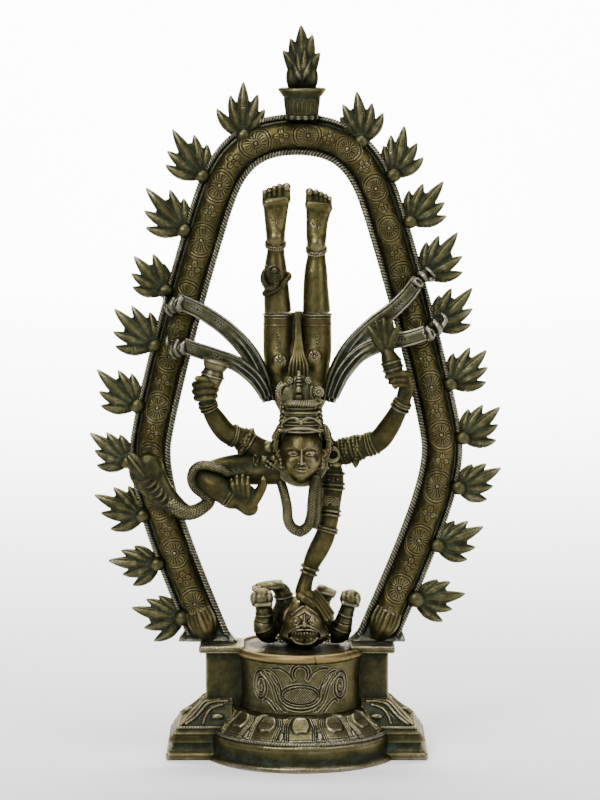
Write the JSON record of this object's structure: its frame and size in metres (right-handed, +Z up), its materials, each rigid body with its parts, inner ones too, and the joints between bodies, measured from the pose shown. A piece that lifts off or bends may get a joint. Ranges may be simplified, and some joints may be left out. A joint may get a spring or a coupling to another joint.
{
  "type": "brass dancing figure statue",
  "caption": "Aged brass dancer in a one-handed handstand on a crouching demon, inside a flaming oval arch on a round lotus base with two side pedestals.",
  "frame": {"origin": "centre of the underside of the base", "axes": "+Z up, front towards -Y, +X to the viewer's right"},
  "size_m": [0.2548, 0.124, 0.4528],
  "materials": {
    "arch_channel_brass": "aged brass, near-black patina with verdigris",
    "arch_relief_brass": "aged brass, chased, warm gold where worn",
    "base_brass": "aged brass, dark olive patina, smooth",
    "demon_brass": "aged brass, dark, worn on the face",
    "dress_brass": "aged brass, chased and beaded, dark in the recesses",
    "flame_brass": "aged brass, grooved leaves with worn edges",
    "lotus_brass": "aged brass, chased petals with worn gold ridges",
    "scarf_brass": "aged brass, chased, grey-green patina",
    "skin_brass": "aged brass, smooth, warm gold where handled",
    "snake_brass": "aged brass, scaled, dark"
  },
  "bodies": {
    "root": {"base_plinth": "base_brass", "lotus_tier": "lotus_brass", "base_drum": "base_brass", "top_plate": "base_brass", "wing_left": "base_brass", "wing_right": "base_brass", "pedestal_left": "base_brass", "pedestal_right": "base_brass", "arch_band_left": "arch_channel_brass", "arch_band_right": "arch_channel_brass", "arch_moulding_left": "arch_relief_brass", "arch_moulding_right": "arch_relief_brass", "arch_foot_leaf_left": "arch_relief_brass", "arch_foot_leaf_right": "arch_relief_brass", "flame_left_1": "flame_brass", "flame_left_2": "flame_brass", "flame_left_3": "flame_brass", "flame_left_4": "flame_brass", "flame_left_5": "flame_brass", "flame_left_6": "flame_brass", "flame_left_7": "flame_brass", "flame_left_8": "flame_brass", "flame_left_9": "flame_brass", "flame_left_10": "flame_brass", "flame_right_1": "flame_brass", "flame_right_2": "flame_brass", "flame_right_3": "flame_brass", "flame_right_4": "flame_brass", "flame_right_5": "flame_brass", "flame_right_6": "flame_brass", "flame_right_7": "flame_brass", "flame_right_8": "flame_brass", "flame_right_9": "flame_brass", "flame_right_10": "flame_brass", "finial_cup": "flame_brass", "finial_flame": "flame_brass", "demon_head": "demon_brass", "demon_body": "demon_brass", "demon_arm_left": "demon_brass", "demon_arm_right": "demon_brass", "torso": "skin_brass", "shorts": "dress_brass", "leg_left": "skin_brass", "leg_right": "skin_brass", "head": "skin_brass", "crown": "dress_brass", "arm_drum": "skin_brass", "hand_drum": "skin_brass", "arm_flame": "skin_brass", "hand_flame": "skin_brass", "arm_gesture": "skin_brass", "arm_support": "skin_brass", "arch_cobra": "snake_brass", "neck_snake": "snake_brass", "leg_snake": "snake_brass", "scarf_upper_left": "scarf_brass", "scarf_lower_left": "scarf_brass", "scarf_upper_right": "scarf_brass", "scarf_lower_right": "scarf_brass"}
  },
  "joints": []
}
